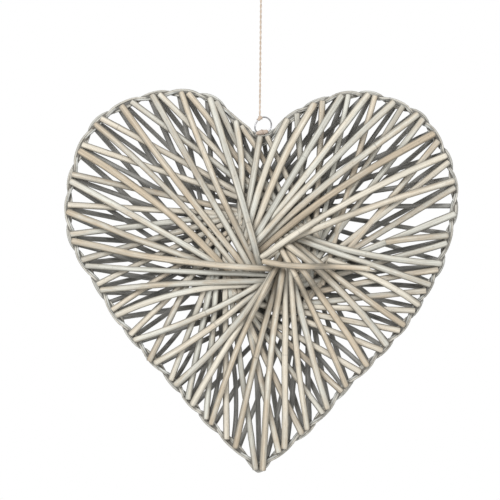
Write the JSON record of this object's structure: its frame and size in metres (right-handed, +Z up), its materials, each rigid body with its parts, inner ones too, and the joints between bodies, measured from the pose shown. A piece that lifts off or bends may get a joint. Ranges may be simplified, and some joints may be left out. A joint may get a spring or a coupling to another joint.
{
  "type": "hanging heart wreath",
  "caption": "Heart of overlapping willow rods on a twined hoop, with a steel ring at its notch on a taut jute twine that hangs it.",
  "frame": {"origin": "where the twine's loop bears on a hook, at the inside of the loop's top", "axes": "+Z up, the heart in the XZ plane with its front towards -Y, +X to the right as seen from the front"},
  "size_m": [0.395, 0.088, 0.4953],
  "materials": {
    "front_willow": "grey washed willow, matt",
    "under_willow": "weathered willow, matt",
    "back_willow": "weathered willow, matt",
    "split_willow": "split grey willow, matt",
    "hoop_wood": "dark willow hoop, matt",
    "ring_steel": "plain steel wire",
    "bark": "brown bark, matt",
    "jute": "twisted jute, matt"
  },
  "bodies": {
    "root": {"back_rods_1": "back_willow", "back_rods_2": "back_willow", "back_rods_3": "back_willow", "back_rods_4": "back_willow", "back_rods_5": "back_willow", "back_rods_6": "back_willow", "border_strand_1": "split_willow", "border_strand_2": "split_willow", "front_rod_01": "front_willow", "front_rod_02": "front_willow", "front_rod_03": "front_willow", "front_rod_04": "front_willow", "front_rod_05": "front_willow", "front_rod_06": "front_willow", "front_rod_07": "front_willow", "front_rod_08": "front_willow", "front_rod_09": "front_willow", "front_rod_10": "front_willow", "front_rod_11": "front_willow", "front_rod_12": "front_willow", "front_rod_13": "front_willow", "front_rod_14": "front_willow", "front_rod_15": "front_willow", "front_rod_16": "front_willow", "front_rod_17": "front_willow", "front_rod_18": "front_willow", "front_rod_19": "front_willow", "front_rod_20": "front_willow", "front_rod_21": "front_willow", "front_rod_22": "front_willow", "front_rod_23": "front_willow", "front_rod_24": "front_willow", "front_rod_25": "front_willow", "front_rod_26": "front_willow", "front_rod_27": "front_willow", "front_rod_28": "front_willow", "front_rod_29": "front_willow", "front_rod_30": "front_willow", "front_rod_31": "front_willow", "front_rod_32": "front_willow", "front_rod_33": "front_willow", "front_rod_34": "front_willow", "front_rod_35": "front_willow", "front_rod_36": "front_willow", "front_rod_37": "front_willow", "front_rod_38": "front_willow", "front_rod_39": "front_willow", "front_rod_40": "front_willow", "front_rod_41": "front_willow", "front_rod_42": "front_willow", "front_under_rods": "under_willow", "hanging_ring": "ring_steel", "hoop": "hoop_wood", "last_rod": "front_willow", "notch_binding": "bark", "twine": "jute", "twine_loop": "jute"}
  },
  "joints": []
}
